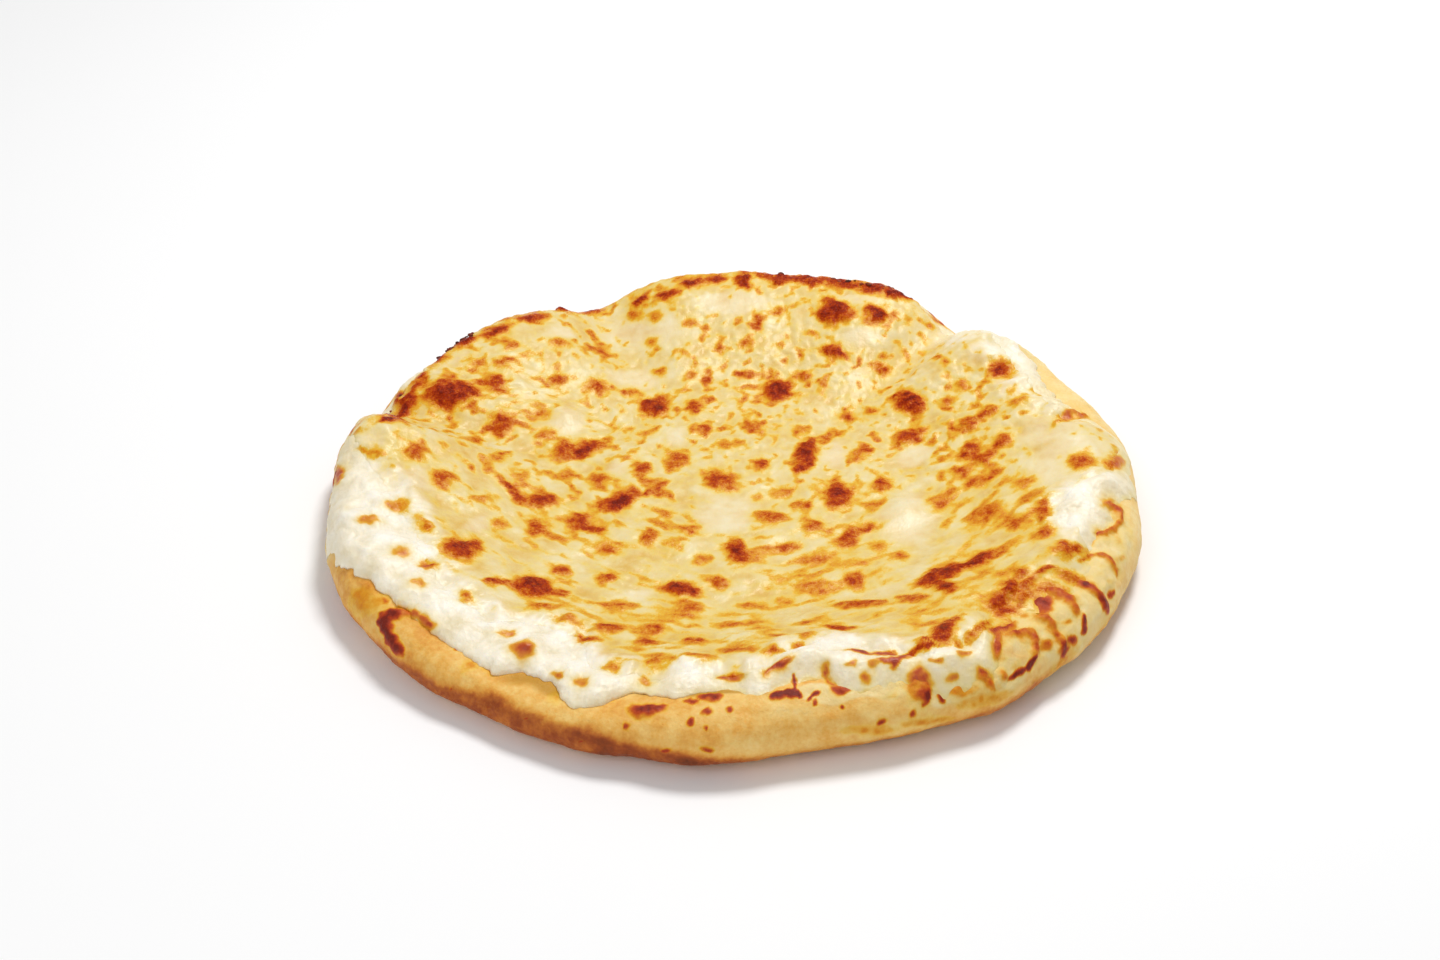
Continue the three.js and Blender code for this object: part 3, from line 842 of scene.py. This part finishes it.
# ---- crisp crumbs
# Each is the middle's pixel, the spread along the edge in millimetres, and how many.
CHAR_CLUSTERS = [
    (456, 343, 6, 12), (444, 353, 5, 9), (397, 402, 5, 10), (466, 336, 4, 6), (388, 418, 3, 5),
    (903, 290, 7, 14), (876, 284, 7, 9), (840, 279, 8, 6), (800, 275, 9, 4)]
CRUMB_ROWS = 5
CRUMB_SIDES = 10
CRUMB_WIDEST = 2.6
CRUMB_SCATTER = 1.0  # about half of how far in and out they lie from the edge


def crumb(place_at, wide, tall, seed):
    """A lumpy bit, part sunk in what it lies on."""
    rise = np.linspace(0, math.pi, CRUMB_ROWS + 2)[1:-1, None]
    turn = np.arange(CRUMB_SIDES) * 2 * math.pi / CRUMB_SIDES
    ball = np.stack([np.sin(rise) * np.cos(turn), np.sin(rise) * np.sin(turn),
                     -np.cos(rise) + 0 * turn], axis=-1)
    ball = np.concatenate([ball.reshape(-1, 3), [[0, 0, -1], [0, 0, 1]]])
    lumpy = ball * (1 + 0.35 * noise(ball + seed * 7.3, 0.8, 95))[:, None]
    return place_at + lumpy * (wide / 2, wide / 2.6, tall / 2)


def make_crumbs(material):
    """Charred crumbs along the back edge, heaped in clusters."""
    seats = [row for row in CHAR_CLUSTERS for _ in range(row[3])]
    rows = np.arange(len(seats))
    lots = np.stack([hashed(np.column_stack([rows, rows * 0 + k, rows * 0]), 97) for k in range(4)], axis=1)
    balls = []
    for (px, py, spread, _), (a, b, c, d) in zip(seats, lots):
        x, y, _ = seen(px, py + 1)
        deg = math.degrees(math.atan2(y, x) + (2 * a - 1) * spread / 140)
        r = math.hypot(x, y) + CRUMB_SCATTER * (0.5 - 2 * b)
        x, y = plane(r, deg)
        z = float(cheese_top(np.array([r]), np.array([deg]))[0]) - 0.05
        wide = CRUMB_WIDEST * (0.4 + 0.6 * c * c)
        balls.append(crumb(np.array([x, y, z]), wide, wide * (0.42 + 0.25 * d), len(balls)))
    size = CRUMB_ROWS * CRUMB_SIDES + 2
    sides = np.concatenate([ring_faces(CRUMB_ROWS, CRUMB_SIDES) + i * size for i in range(len(balls))])
    ends = np.concatenate([caps(CRUMB_ROWS, CRUMB_SIDES) + i * size for i in range(len(balls))])
    points = np.concatenate(balls)
    return build("crisp_crumbs", points, (sides, ends), {}, material, "mozzarella")


# ---- materials
def colour(code):
    """Linear colour from the sRGB code of a swatch."""
    parts = [int(code[i:i + 2], 16) / 255 for i in (0, 2, 4)]
    return [p / 12.92 if p <= 0.04045 else ((p + 0.055) / 1.055) ** 2.4 for p in parts] + [1]


class Shader:
    """A principled material and short ways to add nodes to it."""

    def __init__(self, name):
        self.material = bpy.data.materials.new(name)
        self.material.use_nodes = True
        self.tree = self.material.node_tree
        self.surface = self.tree.nodes["Principled BSDF"]
        self.place = self.tree.nodes.new("ShaderNodeTexCoord").outputs["Object"]

    def put(self, socket, value):
        if hasattr(value, "is_output"):
            self.tree.links.new(value, socket)
        else:
            socket.default_value = value

    def add(self, kind, inputs, **settings):
        """A new node with its settings and inputs filled in."""
        node = self.tree.nodes.new("ShaderNode" + kind)
        for name, setting in settings.items():
            setattr(node, name, setting)
        for socket, value in inputs.items():
            self.put(node.inputs[socket], value)
        return node

    def value(self, name):
        return self.add("Attribute", {}, attribute_name=name).outputs["Fac"]

    def sum(self, operation, a, b=0.0, c=0.0):
        return self.add("Math", {0: a, 1: b, 2: c}, operation=operation).outputs[0]

    def grain(self, size_mm, detail=3.0, roughness=0.55):
        inputs = {"Vector": self.place, "Scale": 1000 / size_mm, "Detail": detail,
                  "Roughness": roughness}
        return self.add("TexNoise", inputs).outputs["Fac"]

    def pores(self, size_mm):
        inputs = {"Vector": self.place, "Scale": 1000 / size_mm}
        return self.add("TexVoronoi", inputs).outputs["Distance"]

    def ramp(self, value, stops):
        node = self.add("ValToRGB", {"Fac": value})
        band = node.color_ramp
        for i, (at, code) in enumerate(stops):
            stop = band.elements[i] if i < 2 else band.elements.new(at)
            stop.position = at
            stop.color = colour(code) if isinstance(code, str) else (code, code, code, 1)
        return node.outputs["Color"]

    def mix(self, factor, a, b, blend="MIX"):
        inputs = {"Factor": factor, "A": a, "B": b}
        return self.add("Mix", inputs, data_type="RGBA", blend_type=blend).outputs["Result"]

    def bump(self, height, millimetres, strength=1.0, normal=None):
        inputs = {"Height": height, "Distance": millimetres * 0.001, "Strength": strength}
        if normal is not None:
            inputs["Normal"] = normal
        return self.add("Bump", inputs).outputs["Normal"]

    def set(self, **sockets):
        for name, value in sockets.items():
            self.put(self.surface.inputs[name.replace("_", " ")], value)

    def scatter(self, weight, millimetres, radius):
        self.set(Subsurface_Weight=weight, Subsurface_Radius=radius)
        self.surface.inputs["Subsurface Scale"].default_value = millimetres * 0.001


BROWN_RAMP = [
    (0.08, "ecd16c"), (0.2, "e6b531"), (0.34, "de9619"), (0.5, "ce6f0b"), (0.64, "ba4808"),
    (0.8, "9f2e08"), (1.0, "761b07")]


def curd_white_and_crease_shade(s):
    """The ricotta's colour: whitest on its lumps, with painted shade in its creases, where it turns a greyer
    cream.
    """
    return s.ramp(s.sum("MULTIPLY_ADD", s.value("curd"), 0.2, s.grain(8, 3)),
                  [(0.15, "e3d4af"), (0.42, "f3e8cf"), (0.72, "fbf4e5")])


def mozzarella_material():
    s = Shader("melted_mozzarella")
    brown = s.value("browning")
    fine = s.sum("SUBTRACT", s.grain(2.2, 4), 0.5)
    tiny = s.sum("SUBTRACT", s.grain(0.8, 2, 0.7), 0.5)
    uneven = s.sum("MULTIPLY_ADD", tiny, 0.9, s.sum("MULTIPLY", fine, 0.9))
    toasted = s.sum("MULTIPLY_ADD", s.sum("ADD", brown, 0.06), uneven, brown)
    oily = s.ramp(s.sum("MULTIPLY_ADD", s.value("lump"), -0.3, s.grain(11, 3)),
                  [(0.25, "e8d7a5"), (0.5, "e3c882"), (0.75, "dbb156")])
    # Where the cheese is milky it takes the ricotta's white, with painted shade in its creases.
    cheese = s.mix(s.value("milky"), oily, curd_white_and_crease_shade(s))
    amount = s.ramp(toasted, [(0.0, 0.0), (0.2, 1.0)])
    s.set(Base_Color=s.mix(amount, cheese, s.ramp(toasted, BROWN_RAMP)))
    s.set(Roughness=s.ramp(s.sum("ADD", toasted, fine), [(0.0, 0.38), (0.5, 0.27), (1.0, 0.24)]))
    wrinkles = s.bump(s.grain(1.1, 3, 0.6), 0.6, s.ramp(toasted, [(0.1, 0.2), (0.6, 1.0)]))
    s.set(Normal=s.bump(s.grain(3.2, 3), 0.6, 0.4, wrinkles))
    s.set(Specular_IOR_Level=s.ramp(toasted, [(0.2, 0.32), (0.6, 0.06)]))
    s.scatter(0.12, 1.6, (1.0, 0.72, 0.4))
    return s.material


def ricotta_material():
    s = Shader("ricotta")
    brown = s.value("browning")
    fine = s.sum("SUBTRACT", s.grain(2.4, 4), 0.5)
    toasted = s.sum("ADD", brown, s.sum("MULTIPLY", fine, s.sum("MULTIPLY", brown, 0.7)))
    amount = s.ramp(toasted, [(0.0, 0.0), (0.25, 1.0)])
    # The curd's white carries painted shade in its creases.
    curd = s.mix(s.value("creamy"), curd_white_and_crease_shade(s), s.ramp(fine, [(0.0, "edd79c"), (0.3, "f5e6bd")]))
    s.set(Base_Color=s.mix(amount, curd, s.ramp(toasted, BROWN_RAMP)))
    s.set(Roughness=s.ramp(fine, [(0.0, 0.45), (1.0, 0.62)]))
    curd = s.bump(s.pores(1.9), 0.5, 0.4)
    s.set(Normal=s.bump(s.grain(0.9, 3), 0.4, 0.4, curd))
    s.scatter(0.2, 2.0, (1.0, 0.8, 0.6))
    return s.material


CRUST_RAMP = [
    (0.0, "f4d896"), (0.2, "efc674"), (0.36, "e6ad50"), (0.5, "d89035"), (0.64, "be6a21"),
    (0.8, "9a4612"), (1.0, "652b0b")]


def crust_material():
    s = Shader("baked_dough")
    speckle = s.sum("SUBTRACT", s.grain(1.6, 4), 0.5)
    cloud = s.sum("SUBTRACT", s.grain(6, 4), 0.5)
    uneven = s.sum("MULTIPLY_ADD", speckle, 0.3, s.sum("MULTIPLY", cloud, 0.35))
    toast = s.sum("ADD", s.value("toast"), uneven)
    coating = s.sum("ADD", s.value("coat"), s.sum("MULTIPLY", cloud, 0.8))
    creamy = s.ramp(cloud, [(0.0, "e9cf8e"), (0.2, "f0dea9")])
    dough = s.mix(s.ramp(coating, [(0.25, 0.0), (0.75, 0.85)]), s.ramp(toast, CRUST_RAMP), creamy)
    dough = s.mix(s.sum("MULTIPLY", s.value("oil"), 0.9), dough, colour("bd8a2b"))
    brown = s.value("browning")
    spots = s.sum("ADD", brown, s.sum("MULTIPLY", speckle, s.sum("MULTIPLY", brown, 0.6)))
    amount = s.ramp(spots, [(0.02, 0.0), (0.36, 1.0)])
    s.set(Base_Color=s.mix(amount, dough, s.ramp(spots, BROWN_RAMP), "DARKEN"))
    s.set(Roughness=s.ramp(s.grain(5, 3), [(0.3, 0.45), (0.7, 0.62)]), Specular_IOR_Level=0.25)
    skin = s.bump(s.grain(4.5, 4, 0.6), 0.8, 0.6)
    s.set(Normal=s.bump(s.grain(0.9, 3, 0.6), 0.4, 0.7, skin))
    s.scatter(0.1, 1.5, (1.0, 0.5, 0.25))
    return s.material


def char_material():
    s = Shader("crisp_cheese")
    s.set(Base_Color=s.ramp(s.grain(7, 3), [(0.35, "9a4322"), (0.5, "6b2a16"), (0.65, "401810")]))
    s.set(Roughness=s.ramp(s.grain(2, 3), [(0.3, 0.45), (0.7, 0.6)]), Specular_IOR_Level=0.2)
    return s.material


def floor_material():
    s = Shader("studio_floor")
    s.set(Base_Color=s.ramp(s.grain(400, 2), [(0.3, 0.93), (0.7, 0.94)]), Roughness=0.9)
    return s.material


# ---- camera, lights and floor
def make_camera():
    lens = bpy.data.cameras.new("photo_view")
    lens.sensor_width = 36
    lens.lens = 36 * FOCAL_PIXELS / PHOTO_WIDTH
    lens.clip_end = 20
    camera = bpy.data.objects.new("photo_view", lens)
    camera.location = (CAMERA - (*MIDDLE, 0)) * 0.001
    camera.rotation_euler = (math.radians(90 - ELEVATION), 0, 0)
    bpy.context.collection.objects.link(camera)
    bpy.context.scene.camera = camera


def make_light(name, place_at, size, watts):
    lamp = bpy.data.lights.new(name, "AREA")
    lamp.shape = "DISK"
    lamp.size = size
    lamp.energy = watts
    light = bpy.data.objects.new(name, lamp)
    light.location = place_at
    aim = np.array(place_at) / np.linalg.norm(place_at)
    light.rotation_euler = (math.acos(aim[2]), 0, math.atan2(aim[1], aim[0]) + math.pi / 2)
    bpy.context.collection.objects.link(light)


def make_studio():
    world = bpy.data.worlds.new("soft_studio")
    world.use_nodes = True
    world.node_tree.nodes["Background"].inputs["Strength"].default_value = 0.4
    world.node_tree.nodes["Background"].inputs["Color"].default_value = (1, 1, 1, 1)
    bpy.context.scene.world = world
    make_light("key_softbox", (0.3, 0.5, 1.2), 0.4, 12)
    make_light("front_fill", (-0.5, -0.9, 0.8), 0.9, 4)
    mesh = bpy.data.meshes.new("floor")
    half = 4.0
    mesh.from_pydata([(-half, -half, -0.0004), (half, -half, -0.0004), (half, half, -0.0004),
                      (-half, half, -0.0004)], [], [(0, 1, 2, 3)])
    mesh.materials.append(floor_material())
    ground = bpy.data.objects.new("floor", mesh)
    bpy.context.collection.objects.link(ground)
    bpy.context.scene.view_settings.view_transform = "Standard"


make_camera()
make_studio()
make_crust(crust_material())
make_ricotta(ricotta_material())
make_mozzarella(mozzarella_material())
make_crumbs(char_material())
